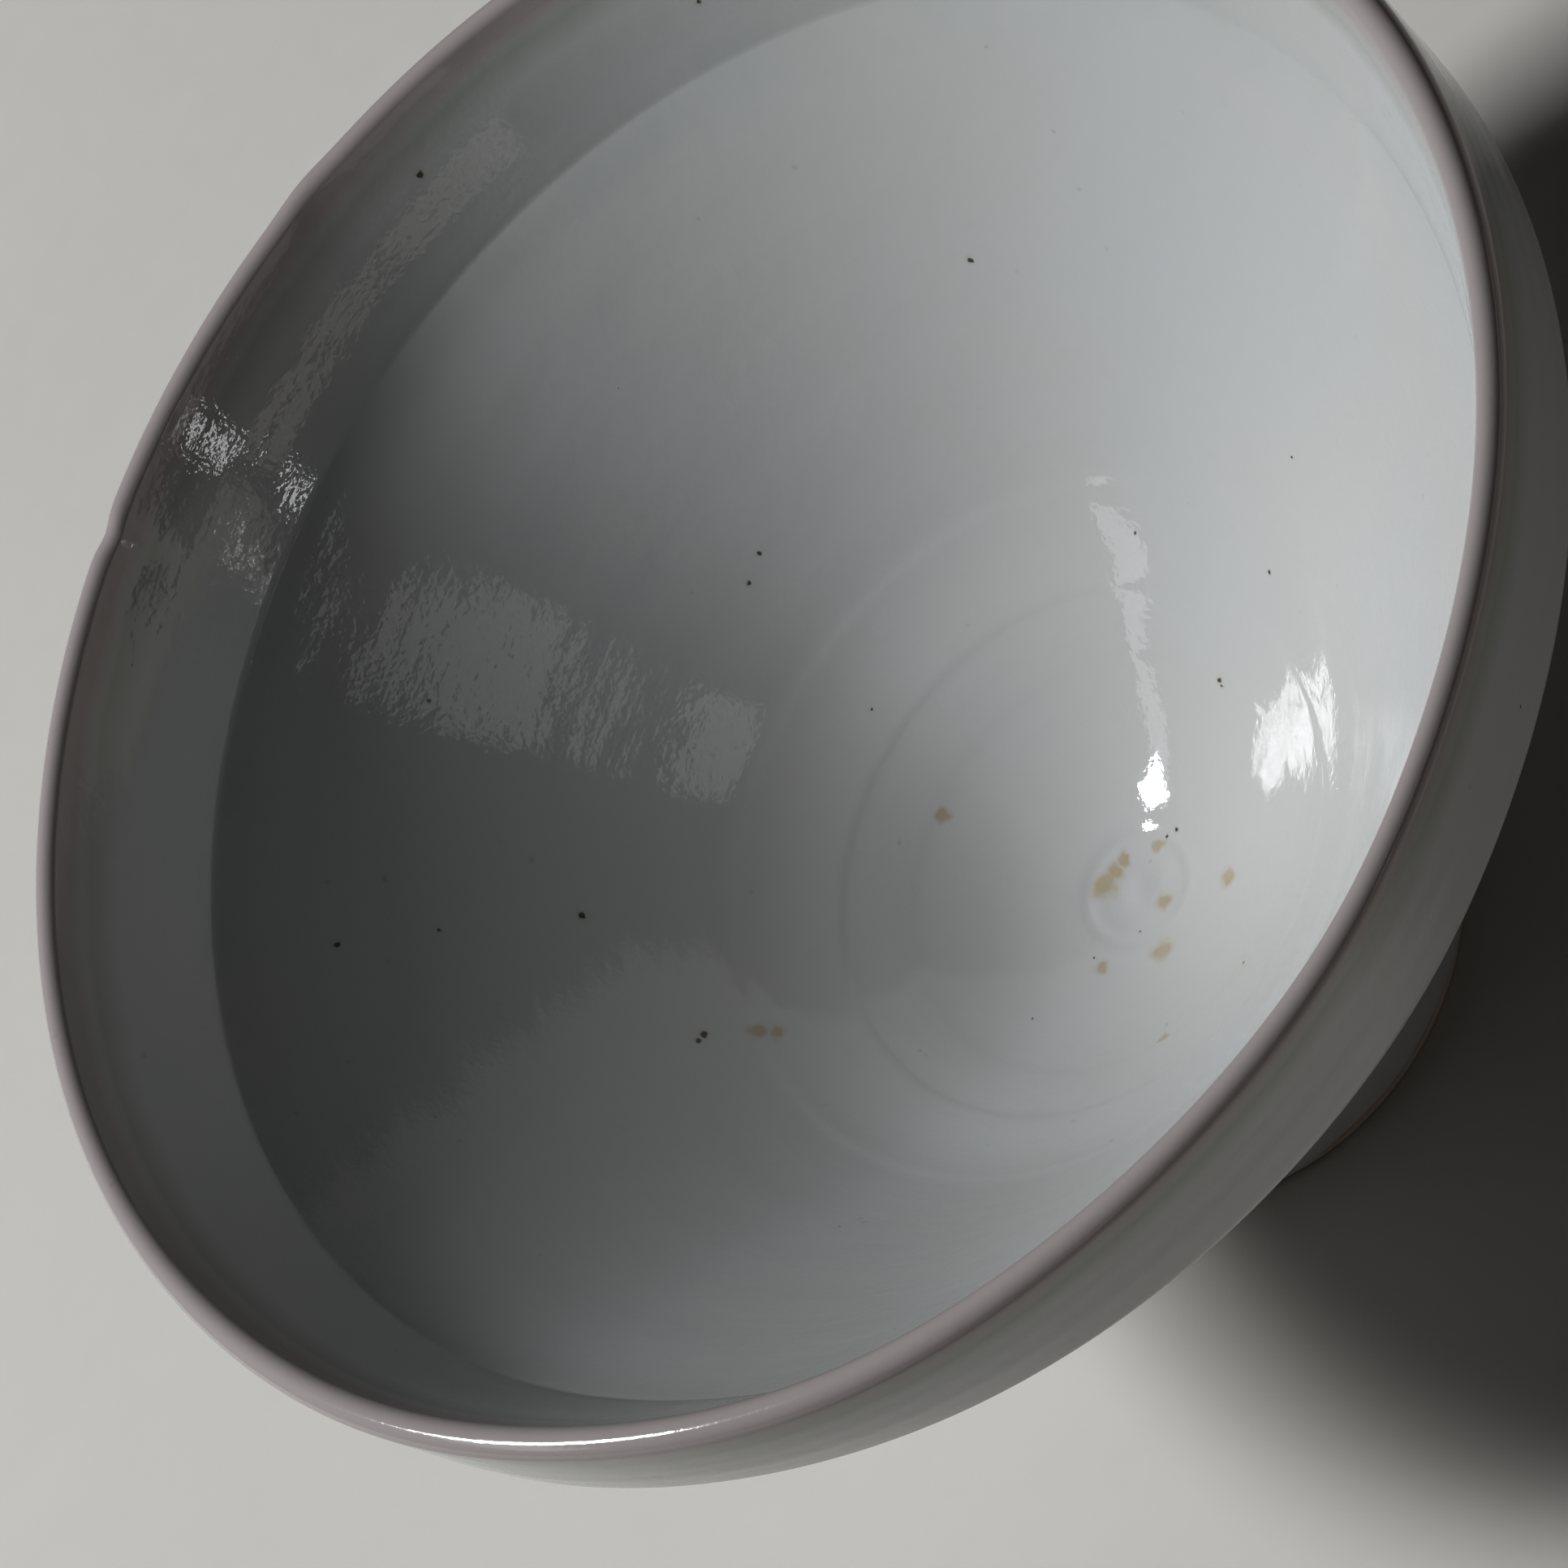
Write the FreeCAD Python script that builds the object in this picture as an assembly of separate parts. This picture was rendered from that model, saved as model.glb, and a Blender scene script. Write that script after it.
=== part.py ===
import FreeCAD, Part
import math
import os

# A footed porcelain dish: a thrown bowl with an upright collar, a foot ring luted under it,
# and the coats of glaze fused to them. It stands on its foot with +Z up along the axis of
# the wheel, and the origin is the centre of the foot's resting face. Millimetres.

# Bowl, measured over the glaze
RIM_RADIUS = 60.0            # outside of the lip
INSIDE_DEPTH = 54.5          # top of the lip down to the middle of the floor
FLOOR_RADIUS = 36.0          # radius of the sphere that rounds the floor
WALL_THICKNESS = 4.4         # sloping wall and floor, square to the surface
LIP_THICKNESS = 2.1          # full round lip
COLLAR_WIDTH = 7.1           # from the outside of the lip in to the inside crease
COLLAR_DROP = 12.0           # from the top of the lip down to the inside crease
COLLAR_LEAN = 0.6            # how far the collar's outside draws in, level with the crease
CREASE_ROUNDING = 1.6        # radius that softens the inside crease
SHOULDER_ROUNDING = 1.2      # radius that softens the outside shoulder

# Foot ring, measured over the glaze
WELL_DEPTH = 9.1             # from the resting face up to the middle of the bowl's underside
FOOT_RADIUS = 21.2           # outside of the ring, just above its bevel
FOOT_WALL = 4.6              # from there to the inside of the ring
FOOT_FLARE = 0.06            # how far each side widens for every millimetre of height
FOOT_EDGE = 0.7              # bevel along both edges of the resting face

# Glaze
GLAZE = 0.25                 # thickness of every coat
LIP_BAND = 1.8               # height of the band round the lip where the glaze runs thin
BARE_FOOT = 1.4              # height of the ring that was wiped clean before firing

UP = FreeCAD.Vector(0, 0, 1)


def point(radius, height):
    """A point of the section, in the plane of X and Z."""
    return FreeCAD.Vector(radius, 0, height)


def line(a, b):
    return Part.LineSegment(a, b).toShape()


def arc(a, middle, b):
    return Part.Arc(a, middle, b).toShape()


def section(edges):
    """The flat face inside a closed chain of edges."""
    return Part.Face(Part.Wire(edges))


def turned(face):
    """A section turned once round the Z axis into a solid."""
    return face.revolve(FreeCAD.Vector(), UP, 360)


def spoke(start, centre, radius, side):
    """The direction from centre to the point where the line from start touches the circle."""
    away = start - centre
    swing = side * math.acos(radius / away.Length) + math.atan2(away.z, away.x)
    return point(math.cos(swing), math.sin(swing))


def across(a, b, shift):
    """The two ends of the line from a to b, moved by shift to the right of the way it runs."""
    way = (b - a).normalize()
    step = point(way.z, -way.x) * shift
    return a + step, b + step


def meeting(first, second):
    """The point where two lines of the section, each given by its two ends, cross."""
    start, end = first
    other_start, other_end = second
    run = end - start
    other_run = other_end - other_start
    gap = other_start - start
    share = gap.cross(other_run).y / run.cross(other_run).y
    return start + run * share


def rounded(before, corner, after, radius):
    """Start, middle and end of the arc that rounds a corner between its two neighbours."""
    back = (before - corner).normalize()
    onward = (after - corner).normalize()
    half = back.getAngle(onward) / 2
    reach = radius / math.tan(half)
    centre = corner + (back + onward).normalize() * (radius / math.sin(half))
    middle = centre + (corner - centre).normalize() * radius
    return corner + back * reach, middle, corner + onward * reach


# Lines of the glazed section: the inside slope touches the floor's sphere, and both sides
# of the collar touch the round of the lip.
rim_height = WELL_DEPTH + WALL_THICKNESS + INSIDE_DEPTH
lip_round = LIP_THICKNESS / 2
floor_centre = point(0, WELL_DEPTH + WALL_THICKNESS + FLOOR_RADIUS)
lip_centre = point(RIM_RADIUS - lip_round, rim_height - lip_round)
crease = point(RIM_RADIUS - COLLAR_WIDTH, rim_height - COLLAR_DROP)
collar_foot = point(RIM_RADIUS - COLLAR_LEAN, rim_height - COLLAR_DROP)
floor_edge = floor_centre + spoke(crease, floor_centre, FLOOR_RADIUS, -1) * FLOOR_RADIUS
lip_inside = lip_centre + spoke(crease, lip_centre, lip_round, -1) * lip_round
lip_outside = lip_centre + spoke(collar_foot, lip_centre, lip_round, 1) * lip_round
floor_middle = (floor_edge - floor_centre).normalize() - UP
floor_middle.normalize()


def underside(inset):
    """Foot of the bowl's outside: bottom, arc middle and end, and the shoulder's corner."""
    radius = FLOOR_RADIUS + WALL_THICKNESS - inset
    slope = across(floor_edge, crease, WALL_THICKNESS - inset)
    collar = across(collar_foot, lip_outside, -inset)
    bottom = floor_centre - UP * radius
    return bottom, floor_centre + floor_middle * radius, slope[0], meeting(slope, collar)


def bowl(inset):
    """Section of the thrown bowl without its foot, with every surface set in by inset."""
    radius = FLOOR_RADIUS + inset
    slope = across(floor_edge, crease, inset)
    collar = across(crease, lip_inside, inset)
    lip_end = across(collar_foot, lip_outside, -inset)[1]
    floor_top = floor_centre - UP * radius
    bottom, bottom_middle, bottom_edge, shoulder = underside(inset)
    crease_arc = rounded(slope[0], meeting(slope, collar), collar[1], CREASE_ROUNDING + inset)
    shoulder_arc = rounded(lip_end, shoulder, bottom_edge, SHOULDER_ROUNDING - inset)
    return section(
        [
            arc(floor_top, floor_centre + floor_middle * radius, slope[0]),
            line(slope[0], crease_arc[0]),
            arc(*crease_arc),
            line(crease_arc[2], collar[1]),
            arc(collar[1], lip_centre + UP * (lip_round - inset), lip_end),
            line(lip_end, shoulder_arc[0]),
            arc(*shoulder_arc),
            line(shoulder_arc[2], bottom_edge),
            arc(bottom_edge, bottom_middle, bottom),
            line(bottom, floor_top),
        ]
    )


def foot(inset):
    """Section of the ring under the bowl, its sides set in by inset, fitted to the underside."""
    bottom, bottom_middle, bottom_edge, shoulder = underside(inset)
    top = floor_centre.z
    widening = FOOT_FLARE * (top - FOOT_EDGE)
    outer = FOOT_RADIUS - inset
    inner = FOOT_RADIUS - FOOT_WALL + inset
    corners = [
        point(inner + FOOT_EDGE, 0),
        point(inner, FOOT_EDGE),
        point(inner - widening, top),
        point(outer + widening, top),
        point(outer, FOOT_EDGE),
        point(outer - FOOT_EDGE, 0),
    ]
    ring = section([line(a, b) for a, b in zip(corners, corners[1:] + corners[:1])])
    above = section(
        [
            arc(bottom, bottom_middle, bottom_edge),
            line(bottom_edge, shoulder),
            line(shoulder, point(0, shoulder.z)),
            line(point(0, shoulder.z), bottom),
        ]
    )
    return ring.cut(above)


def band(low, high):
    """A strip across the whole section, between two heights."""
    corners = [point(0, low), point(RIM_RADIUS, low), point(RIM_RADIUS, high), point(0, high)]
    return section([line(a, b) for a, b in zip(corners, corners[1:] + corners[:1])])


def patch_at(shape, place):
    """The one face of a flat shape that holds a place."""
    return next(f for f in shape.Faces if f.isInside(place, GLAZE / 10, True))


# The clay: the thrown bowl, and the ring that takes the shape of its underside.
bowl_clay = bowl(GLAZE)
foot_clay = foot(GLAZE)

# The glaze: what lies between the glazed shape and the clay. The lip's band is a coat of its
# own, and the bare foot parts the coat on the outside from the one in the well of the foot.
glazed = Part.Shell(bowl(0).fuse(foot(0)).Faces).removeSplitter()
coats = glazed.cut(bowl_clay.fuse(foot_clay))
lip_band = band(rim_height - LIP_BAND, rim_height)
coats_below = coats.cut(lip_band.fuse(band(0, BARE_FOOT)))
half_coat = GLAZE / 2
slope_coat = across(floor_edge, crease, half_coat)[0]

sections = {
    "porcelain_bowl": bowl_clay,
    "foot_ring": foot_clay,
    "lip_glaze": patch_at(coats.common(lip_band), point(lip_centre.x, rim_height - half_coat)),
    "inside_glaze": patch_at(coats_below, slope_coat),
    "outside_glaze": patch_at(coats_below, (collar_foot + lip_outside) / 2 - point(half_coat, 0)),
    "foot_well_glaze": patch_at(coats_below, underside(half_coat)[0]),
}

os.makedirs("parts", exist_ok=True)
for name, face in sections.items():
    solid = turned(face.Faces[0])
    solid.exportStep(f"parts/{name}.step")
    print(name, solid.ShapeType, len(solid.Solids), solid.isValid(), round(solid.Volume, 1))
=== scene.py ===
import math

import bpy
import numpy as np
from mathutils import Matrix, Quaternion, Vector


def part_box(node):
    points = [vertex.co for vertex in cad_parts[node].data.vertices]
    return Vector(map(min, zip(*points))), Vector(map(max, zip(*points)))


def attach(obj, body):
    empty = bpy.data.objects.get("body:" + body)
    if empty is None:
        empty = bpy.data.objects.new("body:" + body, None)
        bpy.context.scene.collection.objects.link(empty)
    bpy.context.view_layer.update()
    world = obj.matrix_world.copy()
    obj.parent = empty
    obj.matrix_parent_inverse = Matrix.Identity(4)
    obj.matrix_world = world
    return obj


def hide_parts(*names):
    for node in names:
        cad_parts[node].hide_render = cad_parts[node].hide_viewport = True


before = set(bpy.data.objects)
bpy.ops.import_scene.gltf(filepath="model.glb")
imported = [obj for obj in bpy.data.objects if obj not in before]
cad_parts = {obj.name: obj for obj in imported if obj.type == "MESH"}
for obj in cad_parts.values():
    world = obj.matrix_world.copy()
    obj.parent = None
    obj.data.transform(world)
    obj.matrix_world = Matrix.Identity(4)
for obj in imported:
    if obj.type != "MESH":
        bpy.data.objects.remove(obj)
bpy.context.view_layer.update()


# The thrown body. White porcelain clay, thrown on the wheel in one lump: a deep bowl with a
# round floor, a sloping wall and an upright collar. It was dried and biscuit fired, and the
# glaze covers all of it. Sizes are millimetres over the glaze, and the wheel's axis is Z.
MM = 0.001
TURN_STEPS = 512
GLAZE_DEPTH = 0.25
COLLAR_WIDTH = 7.1
COLLAR_DROP = 12
SHOULDER_DROP = 11.1
LIP_ROUNDING = 1.05
FOOT_RADIUS = 21.2
FOOT_WALL = 4.6
FOOT_BEVEL = 0.7
FOOT_EDGE_ROUNDING = 0.3

lip_low, lip_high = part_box("lip_glaze")
rim_radius = lip_high.x / MM
rim_height = lip_high.z / MM
band_height = lip_low.z / MM
floor_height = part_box("inside_glaze")[0].z / MM + GLAZE_DEPTH
well_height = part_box("porcelain_bowl")[0].z / MM - GLAZE_DEPTH

# Radius, height and rounding of each corner of the section, from the middle of the floor over
# the lip and round the foot to the middle of the foot's well.
section_corners = [
    (0, floor_height, 0),                                             # middle of the floor
    (16.65, floor_height, 36),                                        # floor into slope
    (rim_radius - COLLAR_WIDTH, rim_height - COLLAR_DROP, 1.6),       # inside crease
    (rim_radius - 1.73, rim_height, LIP_ROUNDING),                    # lip, inside
    (rim_radius + 0.06, rim_height, LIP_ROUNDING),                    # lip, outside
    (rim_radius - 0.55, rim_height - SHOULDER_DROP, 1.2),             # shoulder
    (26.96, 18.86, 30),                                               # slope into underside
    (22.1, 15.7, 2.2),                                                # bowl to foot
    (FOOT_RADIUS, FOOT_BEVEL, FOOT_EDGE_ROUNDING),                    # bevel, outside
    (FOOT_RADIUS - FOOT_BEVEL, 0, FOOT_EDGE_ROUNDING),                # resting face, outside
    (FOOT_RADIUS - FOOT_WALL + FOOT_BEVEL, 0, FOOT_EDGE_ROUNDING),    # resting face, inside
    (FOOT_RADIUS - FOOT_WALL, FOOT_BEVEL, FOOT_EDGE_ROUNDING),        # bevel, inside
    (15.9, 12.5, 1.2),                                                # corner of the well
    (8.3, well_height, 30),                                           # round of the well
    (0, well_height, 0),                                              # middle of the well
]


def smooth_section(corners, step=0.02):
    """The section as one path: its distances, radii, heights, and which way it faces.

    Straight runs join the corners. At each corner an arc touches both runs: its centre lies
    square to the first run at the touching point, and its points are that centre plus the
    rounding times a direction that turns evenly from one touching point to the other.
    """
    places = np.array([corner[:2] for corner in corners], float)
    path = [places[:1]]
    for before, corner, after, size in zip(places, places[1:], places[2:], corners[1:]):
        ways = [corner - before, after - corner]
        arriving, leaving = [way / np.hypot(*way) for way in ways]
        turn = math.atan2(arriving[0] * leaving[1] - arriving[1] * leaving[0], arriving @ leaving)
        rounding = size[2]
        reach = rounding * math.tan(abs(turn) / 2)
        side = math.copysign(1, turn)
        inward = side * np.array([-arriving[1], arriving[0]])
        centre = corner - arriving * reach + inward * rounding
        first = math.atan2(-inward[1], -inward[0])
        swing = first + np.linspace(0, turn, 2 + int(abs(turn) * rounding / step))
        path.append(centre + rounding * np.column_stack([np.cos(swing), np.sin(swing)]))
    path.append(places[-1:])
    path = np.vstack(path)
    lengths = np.hypot(*np.diff(path, axis=0).T)
    path = path[np.concatenate([[True], lengths > 1e-6])]
    run = np.concatenate([[0], np.cumsum(np.hypot(*np.diff(path, axis=0).T))])
    even = np.arange(0, run[-1], step)
    radius = np.interp(even, run, path[:, 0])
    height = np.interp(even, run, path[:, 1])
    way = np.gradient(np.column_stack([radius, height]), even, axis=0)
    way /= np.hypot(way[:, 0], way[:, 1])[:, None]
    return even, radius, height, -way[:, 1], way[:, 0]


along, section_radius, section_height, section_out, section_up = smooth_section(section_corners)
lip_top = along[np.argmax(section_height)]
outline_end = along[-1]


def reach_of(height, after):
    """The first distance along the section, beyond after, at which it passes a height."""
    above = section_height > height
    passes = np.flatnonzero(above[1:] != above[:-1])
    return along[passes[along[passes] > after][0]]


crease = reach_of(rim_height - COLLAR_DROP, 0)
band_inside = reach_of(band_height, 0)
band_outside = reach_of(band_height, lip_top)
shoulder = reach_of(rim_height - SHOULDER_DROP, lip_top)


def bell(distance, width):
    """A soft bump: the exponential of minus the square of distance over width."""
    return np.exp(-(distance / width) ** 2)


def apart(angle, degrees):
    """The angle between a direction round the dish and one given in degrees, the short way."""
    return (np.degrees(angle) - degrees + 180) % 360 - 180


# The faint steps that ring the floor: where, how high, how wide, and how far each one reaches.
FLOOR_RINGS = [(22.9, 0.026, 0.35, 2.5), (31.3, -0.028, 0.45, 3.0), (17.4, 0.014, 0.4, 2.0)]

# Where the rim drifts outwards or inwards: direction in degrees, width, and how far.
RIM_DRIFTS = [(158, 22, 0.40), (-151, 13, -0.34), (-138, 16, -0.30), (-112, 12, -0.26),
              (-86, 11, 0.40)]


def hand_marks(run, height, angle):
    """How far the wall stands off its even section, from the potter's hand.

    Inside, the middle was pressed deeper and a broad soft ridge left round it, both bells of
    the distance. A small knob and its swirl stand at the middle, three faint steps, each the
    hyperbolic tangent of the distance, ring the floor, and sines of the distance plus the
    angle run up the wall as spirals. Outside, sines of height are the bands left by the turning
    tool, fading to nothing at the resting edge, and one side of the shoulder was cut flatter.
    """
    inside = 1 / (1 + np.exp((run - lip_top) / 0.8))
    swirl = np.cos(angle * 2 - run * 1.5) * bell(run, 5.5) * (1 - bell(run, 1.5))
    middle = 0.10 * bell(run, 1.2) + 0.022 * swirl - 0.05 * bell(run - 4.3, 0.55)
    steps = sum(high * np.tanh((run - place) / wide) * bell(run - place, reach)
                for place, high, wide, reach in FLOOR_RINGS)
    pressed = bell(run - 22, 9) - 1.3 * bell(run, 10)
    grown = 1 - bell(run, 14)
    spiral = 0.005 * np.sin(run * 0.9 + angle) + 0.001 * np.sin(run * 2.9 - angle * 2 + 1)
    broad = 0.10 * np.sin(2 * angle + run / 11) + 0.07 * np.sin(3 * angle - run / 15 + 1)
    collar = 0.045 * bell(run - crease - 7, 3.2)
    collar = collar - 0.10 * bell(run - crease, 2.2) * np.sin(3 * angle + 0.7)
    inner = pressed + middle + steps + grown * (spiral + broad) + collar
    bands = 0.020 * np.sin(height * 0.9 + angle + 0.4) + 0.007 * np.sin(height * 2.7 + 2 * angle)
    flat = -1.0 * bell(height - 55, 5.5) * bell(apart(angle, -133), 24)
    lumps = 0.12 * np.sin(3 * angle + height / 9 + 2)
    worked = np.clip(np.abs(outline_end - run) / 14, 0, 1) * np.clip(height / 4, 0, 1)
    outer = (bands + lumps) * worked + flat
    return inside * inner + (1 - inside) * outer


def sway(height, angle):
    """How far the rim drifts outwards and upwards from a true circle.

    Outwards is a sum of bells and a sine of the angle, and upwards is one cosine, so that the
    rim lies a little aslant. Both grow from nothing low on the wall to their full size at the
    lip; a nick and a small bump are only in the last few millimetres.
    """
    grown = np.clip((height - 18) / 50, 0, 1) ** 1.6
    out = sum(far * bell(apart(angle, degrees), wide) for degrees, wide, far in RIM_DRIFTS)
    out = out + 0.12 * np.sin(2 * angle + 1.9)
    up = 0.35 * np.cos(angle - 1.83)
    edge = np.exp((height - rim_height) / 2.6)
    nicks = 0.20 * bell(apart(angle, 81.5), 2.6) - 0.30 * bell(apart(angle, 110.4), 1.3)
    return grown * out + edge * nicks, grown * up + 0.5 * edge * nicks


def wall(run, angle, depth=0.0):
    """Where the dish's surface is, in metres.

    The section is followed for the distance run, and moved along its own normal by the marks
    of the hand less the depth below the glaze. The rim's sway is added, and the result is
    turned to the angle: X and Y are the radius times the angle's cosine and sine.
    """
    run = np.clip(run, 0, outline_end)
    height = np.interp(run, along, section_height)
    lift = hand_marks(run, height, angle) - depth
    radius = np.interp(run, along, section_radius) + np.interp(run, along, section_out) * lift
    out, up = sway(height, angle)
    radius = radius + out
    height = height + np.interp(run, along, section_up) * lift + up
    return np.stack([radius * np.cos(angle), radius * np.sin(angle), height], axis=-1) * MM


def wall_lean(run, angle, depth=0.0):
    """Which way the surface faces: the cross product of its slopes along the section and round
    the wheel, each the difference between two places a little apart."""
    onward = wall(run + 0.02, angle, depth) - wall(run - 0.02, angle, depth)
    around = wall(run, angle + 0.001, depth) - wall(run, angle - 0.001, depth)
    lean = np.cross(onward, around)
    return lean / np.maximum(np.linalg.norm(lean, axis=-1, keepdims=True), 1e-30)


def stepped(first, last, places, sizes):
    """Distances from first to last whose gaps follow the sizes wanted at some places: the
    sizes' reciprocals are added up, and the distances sit where the total passes an even share."""
    fine = np.linspace(first, last, 4000)
    total = np.cumsum(1 / np.interp(fine, places, sizes))
    count = 1 + int(round((total[-1] - total[0]) * (fine[1] - fine[0])))
    return np.interp(np.linspace(total[0], total[-1], count), total, fine)


def fired(name, points, leans, poles):
    """A closed skin from rows of points round the wheel.

    Each point is joined to the next in its row and in the next row, and every row closes on
    itself. With poles, a fan from one point closes each end; without, the last row is joined
    to the first. A lean of nothing leaves Blender's own.
    """
    rows, turns = points.shape[:2]
    here = np.arange(rows * turns).reshape(rows, turns)
    if poles is None:
        following = np.roll(here, -1, axis=0)
    else:
        here, following = here[:-1], here[1:]
    quads = [here, following, np.roll(following, -1, axis=1), np.roll(here, -1, axis=1)]
    faces = np.stack(quads, axis=-1).reshape(-1, 4).tolist()
    places = points.reshape(-1, 3)
    leans = leans.reshape(-1, 3)
    if poles is not None:
        first, last = rows * turns, rows * turns + 1
        start = np.arange(turns)
        end = start + (rows - 1) * turns
        fan = np.column_stack([np.full(turns, first), start, np.roll(start, -1)])
        closing = np.column_stack([end, np.full(turns, last), np.roll(end, -1)])
        faces += fan.tolist() + closing.tolist()
        places = np.vstack([places, poles])
        leans = np.vstack([leans, np.zeros((2, 3))])
    mesh = bpy.data.meshes.new(name)
    mesh.from_pydata(places.tolist(), [], faces)
    mesh.polygons.foreach_set("use_smooth", np.ones(len(mesh.polygons), bool))
    mesh.update()
    mesh.normals_split_custom_set_from_vertices(leans.tolist())
    piece = bpy.data.objects.new(name, mesh)
    bpy.context.scene.collection.objects.link(piece)
    return piece


class Amount:
    """A number that changes over a surface; sums on it add Math nodes to its finish."""

    def __init__(self, finish, socket):
        self.finish = finish
        self.socket = socket

    def worked(self, how, *others):
        return self.finish.node("ShaderNodeMath", {"operation": how}, [self, *others])

    def __add__(self, other):
        return self.worked("ADD", other)

    def __sub__(self, other):
        return self.worked("SUBTRACT", other)

    def __rsub__(self, other):
        return self * -1 + other

    def __mul__(self, other):
        return self.worked("MULTIPLY", other)

    def __truediv__(self, other):
        return self.worked("DIVIDE", other)

    def __rtruediv__(self, other):
        return self.worked("POWER", -1) * other

    def __pow__(self, other):
        return self.worked("POWER", other)

    __radd__ = __add__
    __rmul__ = __mul__

    def held(self):
        """Kept between 0 and 1."""
        return self.finish.node("ShaderNodeClamp", {}, [self])


class Finish:
    """One fired surface's material, with its nodes."""

    def __init__(self, name):
        self.material = bpy.data.materials.new(name)
        self.material.use_nodes = True
        self.nodes = self.material.node_tree.nodes
        self.links = self.material.node_tree.links
        self.shader = self.nodes["Principled BSDF"]
        place = self.node("ShaderNodeTexCoord", {}, {}, "Object")
        self.place = self.node("ShaderNodeVectorMath", {"operation": "SCALE"},
                               {"Vector": place, "Scale": 1 / MM})
        x = self.node("ShaderNodeSeparateXYZ", {}, [self.place], "X")
        y = self.node("ShaderNodeSeparateXYZ", {}, [self.place], "Y")
        self.height = self.node("ShaderNodeSeparateXYZ", {}, [self.place], "Z")
        self.radius = (x * x + y * y) ** 0.5
        self.angle = y.worked("ARCTAN2", x)

    def node(self, kind, settings, values, result=0):
        """Adds a node: its settings first, then its sockets by order, name or identifier."""
        node = self.nodes.new(kind)
        for key, setting in settings.items():
            setattr(node, key, setting)
        named = values.items() if isinstance(values, dict) else enumerate(values)
        for key, value in named:
            self.set(self.socket(node.inputs, key), value)
        return Amount(self, self.socket(node.outputs, result))

    def socket(self, sockets, key):
        matches = [s for s in sockets if key in (s.identifier, s.name)]
        return matches[0] if matches else sockets[key]

    def set(self, socket, value):
        if isinstance(value, Amount):
            self.links.new(value.socket, socket)
        else:
            socket.default_value = value

    def mix(self, share, one, other):
        """A colour between two others."""
        one, other = [(*c, 1) if isinstance(c, tuple) else c for c in (one, other)]
        return self.node("ShaderNodeMix", {"data_type": "RGBA", "clamp_factor": True},
                         {"Factor_Float": share, "A_Color": one, "B_Color": other}, "Result_Color")

    def cloud(self, size, detail=2.0, place=None, seed=0.0):
        """Soft random patches of about a size in millimetres, from 0 to 1."""
        return self.node("ShaderNodeTexNoise", {"noise_dimensions": "4D"},
                         {"Vector": place or self.place, "W": seed, "Scale": 1 / size,
                          "Detail": detail})

    def specks(self, spacing, largest, share, place):
        """Scattered round specks: each random cell holds one at its centre, a share of the
        cells has any, and its size follows the cell's own random number."""
        cell = {"Vector": place, "Scale": 1 / spacing}
        away = self.node("ShaderNodeTexVoronoi", {}, cell, "Distance") * spacing
        colour = self.node("ShaderNodeTexVoronoi", {}, cell, "Color")
        chance = self.node("ShaderNodeSeparateColor", {}, [colour], "Red")
        size = ((chance - (1 - share)) / share).held() * largest
        return (1 - away / (size + 0.001)).held()

    def spot(self, radius, degrees, size, place):
        """A mark listed on the inside, at a radius and angle: 1 at its centre and nothing
        at its size, in millimetres."""
        run = np.interp(radius, section_radius[along < lip_top], along[along < lip_top])
        centre = tuple(wall(run, math.radians(degrees)) / MM)
        away = self.node("ShaderNodeVectorMath", {"operation": "DISTANCE"},
                         [place, centre], "Value")
        return (1 - away / size).held()

    def spots(self, marks, place):
        """Several such marks, taking the strongest wherever two meet."""
        strongest = None
        for mark in marks:
            one = self.spot(*mark, place)
            strongest = strongest.worked("MAXIMUM", one) if strongest else one
        return strongest

    def crooked(self, amount, size):
        """The place moved about by a fine cloud, so that round marks come out ragged."""
        cloud = self.node("ShaderNodeTexNoise", {}, {"Vector": self.place, "Scale": 1 / size},
                          "Color")
        shift = self.node("ShaderNodeVectorMath", {"operation": "SUBTRACT"},
                          [cloud, (0.5, 0.5, 0.5)])
        shift = self.node("ShaderNodeVectorMath", {"operation": "SCALE"},
                          {"Vector": shift, "Scale": amount})
        return self.node("ShaderNodeVectorMath", {"operation": "ADD"}, [self.place, shift])

    def raised(self, relief):
        """A relief in millimetres becomes the normal."""
        normal = self.node("ShaderNodeBump", {}, {"Distance": MM, "Height": relief})
        self.set(self.shader.inputs["Normal"], normal)


BISCUIT_WHITE = (0.70, 0.645, 0.575)
BISCUIT_BUFF = (0.62, 0.53, 0.44)
FLASHED_RED = (0.36, 0.13, 0.075)
SHELF_GRIME = (0.30, 0.25, 0.20)
BARE_FOOT = 1.4
FOOT_JOINT_OUTSIDE = 15.2
FOOT_JOINT_INSIDE = 11


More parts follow.
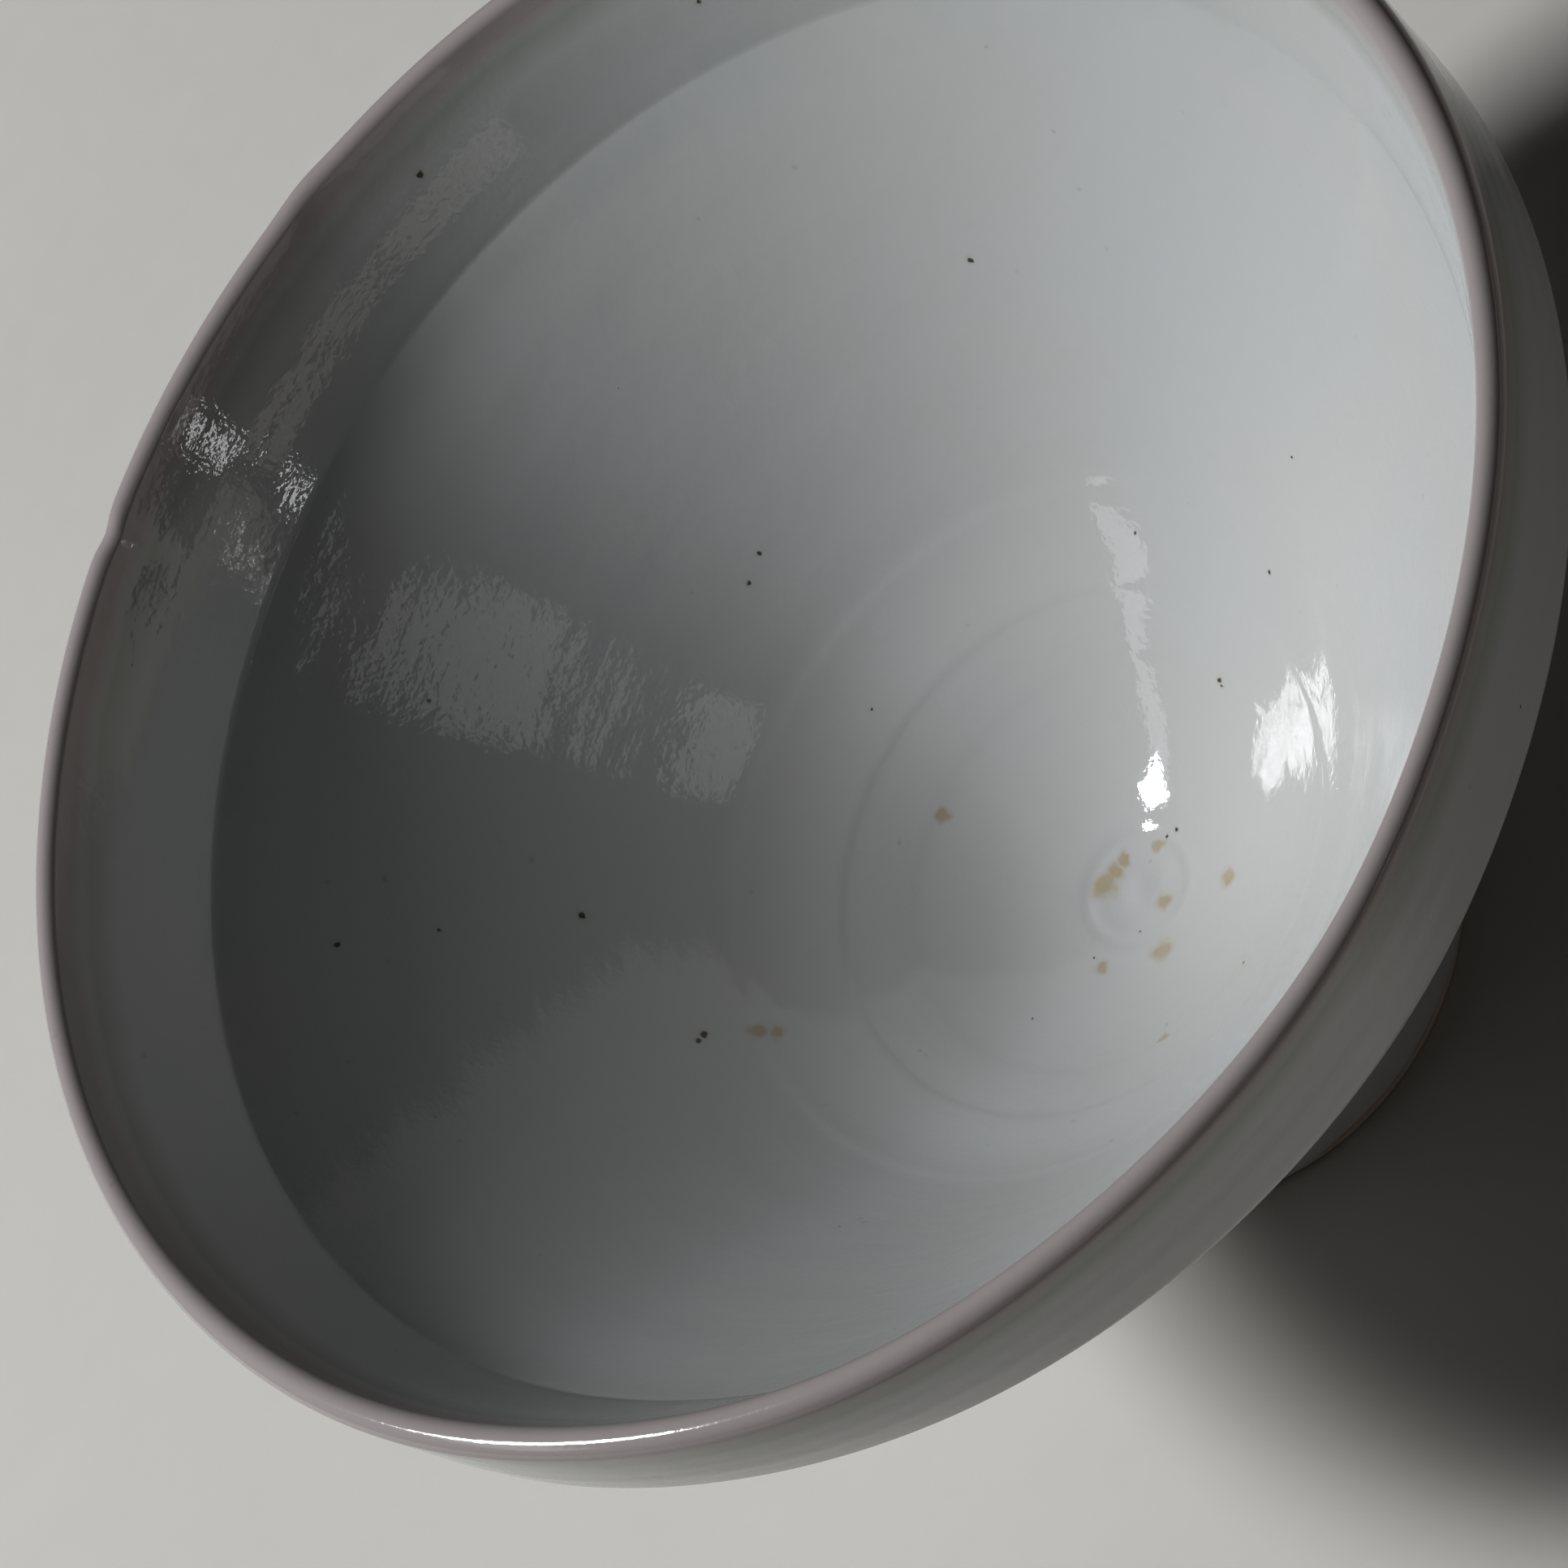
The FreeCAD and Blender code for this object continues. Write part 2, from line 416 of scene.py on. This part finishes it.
def bare_porcelain():
    """Biscuit porcelain, matt and faintly toothed, flashed rust red near the glaze's edge."""
    clay = Finish("bare_porcelain")
    blush = clay.cloud(7, seed=3.1) * 1.3 - 0.25
    colour = clay.mix(blush, BISCUIT_WHITE, BISCUIT_BUFF)
    line = (1 - ((clay.height - (BARE_FOOT - 0.05)) / 0.45).worked("ABSOLUTE")).held()
    line = line * (clay.cloud(2.5, seed=8.0) * 1.6 - 0.25).held()
    colour = clay.mix(line * 0.8, colour, FLASHED_RED)
    grime = clay.specks(0.9, 0.16, 0.3, clay.crooked(0.1, 0.2))
    worn = (1 - clay.height / 0.25).held() * clay.cloud(3, seed=5.5)
    colour = clay.mix(grime * 0.6 + worn * 0.5, colour, SHELF_GRIME)
    clay.set(clay.shader.inputs["Base Color"], colour)
    clay.set(clay.shader.inputs["Roughness"], 0.62 + clay.cloud(1.5, seed=1.0) * 0.3)
    tooth = clay.cloud(0.22, 3, seed=2.0) * 0.035 + clay.cloud(0.9, seed=4.0) * 0.04
    turning = (clay.radius * 9).worked("SINE") * 0.006
    clay.raised(tooth + turning)
    return clay.material


round_wheel = np.linspace(0, 2 * np.pi, TURN_STEPS, endpoint=False)[None, :]
porcelain = bare_porcelain()
foot_start = reach_of(FOOT_JOINT_OUTSIDE, shoulder)
bare_line_outside = reach_of(BARE_FOOT, foot_start)
bare_line_inside = reach_of(BARE_FOOT, bare_line_outside + 1)
foot_end = reach_of(FOOT_JOINT_INSIDE, bare_line_inside)
clay_run = stepped(0.6, outline_end - 0.6,
                   [0, 5, crease, lip_top, shoulder, foot_end - 1, foot_end + 4, outline_end],
                   [1.5, 2.0, 1.0, 0.3, 1.2, 0.4, 0.4, 2.0])
under_bowl = (clay_run > foot_start) & (clay_run < foot_end)
clay_run = clay_run[~under_bowl][:, None]
bowl_points = wall(clay_run, round_wheel, GLAZE_DEPTH)
bowl = fired("thrown_bowl", bowl_points, bowl_points * 0,
             [wall(0, 0, GLAZE_DEPTH), wall(outline_end, 0, GLAZE_DEPTH)])
bowl.data.materials.append(porcelain)
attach(bowl, "root")
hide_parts("porcelain_bowl")


# The foot ring. The same porcelain clay, turned under the bowl when it was leather hard. The
# glaze was wiped off its resting edge, so that it would not stick to the kiln shelf.
foot_run = np.concatenate([
    stepped(foot_start, bare_line_outside, [0], [1.2]),
    stepped(bare_line_outside + 0.08, bare_line_inside - 0.08, [0], [0.13]),
    stepped(bare_line_inside, foot_end, [0], [1.2]),
])[:, None]
foot_height = np.interp(foot_run, along, section_height)
foot_depth = np.interp(foot_height, [0.05, 0.5], [0.02, GLAZE_DEPTH])
foot_sides = wall(foot_run, round_wheel, foot_depth)
joint_share = np.linspace(0, 1, 9)[1:-1, None, None]
joint = foot_sides[-1:] * (1 - joint_share) + foot_sides[:1] * joint_share
foot_points = np.concatenate([foot_sides, joint])
foot = fired("turned_foot", foot_points, foot_points * 0, None)
foot.data.materials.append(porcelain)
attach(foot, "root")
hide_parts("foot_ring")


# The inside glaze. A cool white feldspar glaze poured in and swilled round, a quarter of a
# millimetre thick. It carries the swirl and rings of the throwing, iron specks from the clay,
# and a few amber stains round the middle of the floor.
COOL_WHITE = (0.610, 0.622, 0.630)
WARM_WHITE = (0.632, 0.622, 0.606)
POOLED_GREEN = (0.520, 0.575, 0.545)
UNDER_LIP_GREEN = (0.400, 0.415, 0.370)
THIN_PINK = (0.500, 0.452, 0.448)
IRON = (0.050, 0.042, 0.026)
FAINT_IRON = (0.36, 0.33, 0.24)
RUST_HALO = (0.42, 0.38, 0.25)
AMBER = (0.500, 0.405, 0.245)
MOTTLE_GREY = (0.50, 0.51, 0.46)
GLASS_IOR = 1.55
GREEN_LINE_DROP = 2.9
THIN_DROP = 2.5


def both_faces(runs, bare_edge=None):
    """The rows of a coat: the front in full, then the back from its far edge with fewer rows.

    The back keeps a row whenever the section has bent by five degrees, or run on by six
    millimetres, since the last: both shares are added up, and a row is kept at each whole
    number. A bare edge ends in a bead. Its front sinks as a quarter circle over the last of the
    way, after a low bell-shaped swelling, and sines of the angle make the edge wander.
    """
    facing = np.unwrap(np.arctan2(section_up, section_out))
    bend = np.abs(np.diff(np.interp(runs, along, facing)))
    share = np.concatenate([[0], np.cumsum(bend / math.radians(5) + np.diff(runs) / 6)])
    kept = np.diff(np.floor(share), prepend=-1) > 0
    kept[-1] = True
    rows = np.concatenate([runs, runs[kept][::-1]])[:, None]
    is_front = np.arange(len(rows))[:, None] < len(runs)
    depth = np.where(is_front, 0, GLAZE_DEPTH)
    front = np.where(is_front, 1.0, -1.0)
    if bare_edge is not None:
        gap = np.abs(rows - bare_edge)
        round_off = 1 - np.sqrt(1 - np.clip(1 - gap / 0.35, 0, 1) ** 2)
        bead = GLAZE_DEPTH * round_off - 0.09 * bell(gap - 0.8, 0.6)
        depth = np.where(is_front, bead, depth)
        front = front * (gap > 2)
        wander = 0.20 * np.sin(5 * round_wheel + 1) + 0.12 * np.sin(12 * round_wheel + 2)
        rows = rows + wander * np.exp(-gap / 1.2)
    return rows, depth, front[:, :, None]


def glaze(name, specks, spacing, stain, dulling=0.0):
    """The glaze: cool white with soft warmer clouds, greener where it lies thick, glassy with
    a faint orange peel, and specked with iron. It thins to a pinkish grey over the lip, with a
    darker greenish line just below it. Small random specks lie a spacing apart, and the
    dulling is how much rougher than bare glass it is."""
    coat = Finish(name)
    ragged = coat.crooked(0.45, 0.5)
    tone = coat.cloud(26, 3, seed=1.7) * 1.6 - 0.3
    colour = coat.mix(tone, COOL_WHITE, WARM_WHITE)
    thick = (1 - ((coat.height - (rim_height - COLLAR_DROP - 0.5)) / 3.2).worked("ABSOLUTE")).held()
    patches = (coat.cloud(5, 3, seed=6.0) * 2.4 - 0.9).held()
    colour = coat.mix(thick * patches * 0.45, colour, POOLED_GREEN)
    drifting = coat.height + coat.cloud(6, 2, seed=3.0) * 0.9 - 0.45
    # A darker greenish line a little below the lip, all round the dish.
    under_lip_line = (1 - ((drifting - (rim_height - GREEN_LINE_DROP)) / 1.9).worked("ABSOLUTE")).held()
    colour = coat.mix(under_lip_line * 0.55, colour, UNDER_LIP_GREEN)
    thin = ((drifting - (rim_height - THIN_DROP)) / 1.1).held()
    colour = coat.mix(thin, colour, THIN_PINK)
    mottle = (coat.cloud(1.3, 2, seed=9.0) * 3 - 1.75).held()
    colour = coat.mix(mottle * 0.10, colour, MOTTLE_GREY)
    faint = coat.specks(spacing * 0.45, 0.36, 0.24, ragged)
    colour = coat.mix(faint * 0.45, colour, FAINT_IRON)
    small = coat.specks(spacing, 0.22, 0.3, ragged)
    colour = coat.mix((small * 2.2).held() * 0.7, colour, IRON)
    if stain is not None:
        soft = coat.crooked(1.5, 1.6)
        amber = coat.spots(stain, soft)
        amber = (amber * amber * 2.6).held() * (0.45 + coat.cloud(1.2, seed=4.4) * 0.8)
        colour = coat.mix(amber * 0.75, colour, AMBER)
    if specks is not None:
        halo = coat.spots([(r, a, s * 2.2) for r, a, s in specks], ragged)
        colour = coat.mix(halo * 0.30, colour, RUST_HALO)
        colour = coat.mix((coat.spots(specks, ragged) * 2.5).held() * 0.85, colour, IRON)
    coat.set(coat.shader.inputs["Base Color"], colour)
    dull = (coat.cloud(9, 4, seed=2.2) * 2 - 0.9).held()
    coat.set(coat.shader.inputs["Roughness"], 0.03 + dulling + dull * 0.04 + small * 0.25)
    peel = coat.cloud(0.5, 1.5, seed=7.0) * 0.010 + coat.cloud(1.6, 1, seed=7.5) * 0.014
    peel = peel + coat.cloud(6, 1, seed=2.5) * 0.05
    wavering = coat.radius + coat.cloud(9, 2, seed=6.6) * 2.5
    ring = coat.node("ShaderNodeCombineXYZ", {}, [wavering, coat.height, coat.cloud(14) * 3])
    peel = peel + coat.cloud(0.9, 2, ring, 1.1) * 0.009
    coat.raised(peel - small * 0.02)
    coat.shader.inputs["IOR"].default_value = GLASS_IOR
    return coat


# Radius from the middle and direction in degrees of each larger mark, and its size.
iron_specks = [
    (56, 75, 0.34), (39.5, 37, 0.26), (33, 81, 0.22), (32.5, 85, 0.20), (24.5, 25, 0.16),
    (32, -9, 0.16), (25, -7, 0.18), (16.4, 0.5, 0.24), (16.1, -0.5, 0.18), (5, -1, 0.18),
    (4.3, 6, 0.18), (47, 140, 0.28), (35, 135, 0.34), (42, 138, 0.18), (30, 154, 0.36),
    (30.4, 155, 0.26), (44, 114, 0.24), (6, -174, 0.12), (3.4, -139, 0.12), (55, 49, 0.24),
    (12.5, -175, 0.10), (23.6, 90, 0.14),
]
amber_stains = [
    (3.1, 113, 1.7), (2.8, 90, 1.2), (3.0, 66, 0.9), (2.5, -82, 1.3), (6.2, -116, 1.5),
    (6.6, -165, 1.1), (8.6, -60, 1.1), (3.4, 12, 0.9), (27.4, 155, 1.0), (26.4, 156, 1.1),
    (16.2, 103, 0.8), (16.2, -120, 0.7),
]
inside_finish = glaze("inside_white_glaze", specks=iron_specks, spacing=5.2, stain=amber_stains)
inside_run = stepped(
    0.3, band_inside,
    [0, 8, 12, 21, 23, 25, 29, 31.5, 34, crease - 3, crease, crease + 3, band_inside - 1,
     band_inside],
    [0.3, 0.3, 0.6, 0.6, 0.3, 0.6, 0.6, 0.35, 0.75, 0.75, 0.3, 0.6, 0.3, 0.14])
rows, depth, front = both_faces(inside_run)
inside = fired("inside_glaze_coat", wall(rows, round_wheel, depth),
               wall_lean(rows, round_wheel, depth) * front,
               [wall(0, 0), wall(0, 0, GLAZE_DEPTH)])
inside.data.materials.append(inside_finish.material)
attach(inside, "root")
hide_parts("inside_glaze")


# The lip. The same glaze, but it ran off the edge in the kiln and lies thinner there, so the
# warmer clay shows through as a faint pinkish band round the full round lip.
lip_run = stepped(band_inside, band_outside, [0], [0.14])
rows, depth, front = both_faces(lip_run)
lip = fired("lip_glaze_band", wall(rows, round_wheel, depth),
            wall_lean(rows, round_wheel, depth) * front, None)
lip_finish = glaze("thin_lip_glaze", specks=None, spacing=6.0, stain=None, dulling=0.06)
lip.data.materials.append(lip_finish.material)
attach(lip, "root")
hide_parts("lip_glaze")


# The outside glaze. The dish was held by its foot and dipped, so one coat runs from the lip
# over the shoulder down to the foot, lies thick where the bowl meets the foot, and ends in a
# rounded, slightly wavy edge above the bare clay.
outside_finish = glaze("outside_white_glaze", specks=None, spacing=4.6, stain=None)
outside_run = stepped(
    band_outside, bare_line_outside,
    [band_outside, band_outside + 1, shoulder - 2, shoulder, shoulder + 2, foot_start - 7,
     foot_start, bare_line_outside - 1.5, bare_line_outside],
    [0.14, 0.6, 0.6, 0.25, 0.9, 0.9, 0.5, 0.3, 0.05])
rows, depth, front = both_faces(outside_run, bare_line_outside)
outside = fired("outside_glaze_coat", wall(rows, round_wheel, depth),
                wall_lean(rows, round_wheel, depth) * front, None)
outside.data.materials.append(outside_finish.material)
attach(outside, "root")
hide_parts("outside_glaze")


# The glaze in the foot's well. The dip filled the hollow under the bowl as well, and wiping
# the resting edge cut this patch off from the rest.
well_run = stepped(bare_line_inside, outline_end - 0.3,
                   [bare_line_inside, bare_line_inside + 1, bare_line_inside + 2, outline_end],
                   [0.05, 0.15, 0.5, 0.5])
back_first = [np.roll(part, -len(well_run), axis=0)
              for part in both_faces(well_run, bare_line_inside)]
rows, depth, front = back_first
well = fired("foot_well_glaze_coat", wall(rows, round_wheel, depth),
             wall_lean(rows, round_wheel, depth) * front,
             [wall(outline_end, 0, GLAZE_DEPTH), wall(outline_end, 0)])
well.data.materials.append(outside_finish.material)
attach(well, "root")
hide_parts("foot_well_glaze")


# The studio. A pale round floor under the dish, a soft window-like light and its fainter edge
# on the far side of the dish, two low soft cards on the near side, and two small ones whose
# reflections lie in the shaded glaze.
BOARD_RADIUS = 1.1
BOARD_CORNERS = 96
BOARD_GREY = (0.68, 0.66, 0.63)
BOARD_WHITE = (0.75, 0.73, 0.70)
DISH_MIDDLE = Vector((0, 0, 0.04))
DAYLIGHT = (0.965, 0.985, 1.0)
WARM_LIGHT = (1.0, 0.95, 0.87)
PLAIN_LIGHT = (1.0, 1.0, 1.0)
BLUISH_LIGHT = (0.97, 0.97, 1.0)


def pale_floor():
    """A round board at height nothing: X and Y are its radius times the cosine and sine."""
    rim = np.linspace(0, 2 * np.pi, BOARD_CORNERS, endpoint=False)
    places = BOARD_RADIUS * np.column_stack([np.cos(rim), np.sin(rim), rim * 0])
    mesh = bpy.data.meshes.new("pale_floor")
    mesh.from_pydata(places.tolist(), [], [list(range(len(rim)))])
    floor = bpy.data.objects.new("pale_floor", mesh)
    bpy.context.scene.collection.objects.link(floor)
    board = Finish("pale_board")
    tone = board.cloud(60, 3) * 0.6 + board.cloud(4, 3) * 0.4
    board.set(board.shader.inputs["Base Color"], board.mix(tone, BOARD_GREY, BOARD_WHITE))
    board.set(board.shader.inputs["Roughness"], 0.6 + board.cloud(8) * 0.2)
    floor.data.materials.append(board.material)
    return floor


def soft_panel(name, degrees, above, distance, width, tall, lean, power, colour,
               outline="RECTANGLE"):
    """A flat lamp facing the dish from a direction: its place is the distance times the
    cosines and sine of the two angles, above the dish's middle. It leans to one side."""
    lamp = bpy.data.lights.new(name, "AREA")
    lamp.shape = outline
    lamp.size = width
    lamp.size_y = tall
    lamp.energy = power
    lamp.color = colour
    panel = bpy.data.objects.new(name, lamp)
    round_dish, up = math.radians(degrees), math.radians(above)
    way = Vector((math.cos(round_dish) * math.cos(up), math.sin(round_dish) * math.cos(up),
                  math.sin(up)))
    panel.location = way * distance + DISH_MIDDLE
    facing = way.to_track_quat("Z", "Y") @ Quaternion((0, 0, 1), math.radians(lean))
    panel.rotation_euler = facing.to_euler()
    panel.visible_camera = False
    bpy.context.scene.collection.objects.link(panel)


pale_floor()
soft_panel("window_light", degrees=141, above=50.5, distance=1.2, width=0.20, tall=0.22,
           lean=0, power=13.1, colour=DAYLIGHT)
soft_panel("window_edge", degrees=155, above=40, distance=1.2, width=0.8, tall=0.16,
           lean=-38, power=0.60, colour=DAYLIGHT)
soft_panel("side_card", degrees=-58.5, above=36.3, distance=1.0, width=0.42, tall=0.068,
           lean=-7, power=0.060, colour=PLAIN_LIGHT, outline="ELLIPSE")
soft_panel("low_card", degrees=-38, above=5, distance=1.0, width=1.2, tall=0.12,
           lean=0, power=0.32, colour=WARM_LIGHT)
soft_panel("front_card", degrees=-100, above=5, distance=1.0, width=1.0, tall=0.12,
           lean=0, power=0.28, colour=WARM_LIGHT)
soft_panel("small_card", degrees=-72, above=9.5, distance=1.0, width=0.11, tall=0.022,
           lean=0, power=0.045, colour=BLUISH_LIGHT, outline="ELLIPSE")

world = bpy.data.worlds.new("pale_room")
world.use_nodes = True
room = world.node_tree
faint_light = room.nodes["Background"]
faint_light.inputs["Color"].default_value = (0.80, 0.82, 0.85, 1)
faint_light.inputs["Strength"].default_value = 0.01
far_wall = room.nodes.new("ShaderNodeBackground")
far_wall.inputs["Color"].default_value = (0.80, 0.79, 0.77, 1)
far_wall.inputs["Strength"].default_value = 0.17
looked_at = room.nodes.new("ShaderNodeLightPath")
either = room.nodes.new("ShaderNodeMixShader")
room.links.new(looked_at.outputs["Is Camera Ray"], either.inputs[0])
room.links.new(faint_light.outputs[0], either.inputs[1])
room.links.new(far_wall.outputs[0], either.inputs[2])
room.links.new(either.outputs[0], room.nodes["World Output"].inputs["Surface"])
bpy.context.scene.world = world
view = bpy.context.scene.view_settings
view.view_transform = "Standard"
view.gamma = 0.75

SENSOR_MM = 36
LENS_MM = 130.4
camera_place = Vector((0, -0.26764, 0.34146))
camera_forward = Vector((-0.0194, 0.6780, -0.7348)).normalized()
camera_upward = Vector((0.8317, 0.4188, 0.3644))
camera_right = camera_forward.cross(camera_upward).normalized()
camera_axes = (camera_right, camera_right.cross(camera_forward), -camera_forward)
camera = bpy.data.objects.new("camera", bpy.data.cameras.new("camera"))
camera.data.sensor_width = SENSOR_MM
camera.data.lens = LENS_MM
facing = Matrix(camera_axes).transposed().to_4x4()
camera.matrix_world = Matrix.Translation(camera_place) @ facing
bpy.context.scene.collection.objects.link(camera)
bpy.context.scene.camera = camera
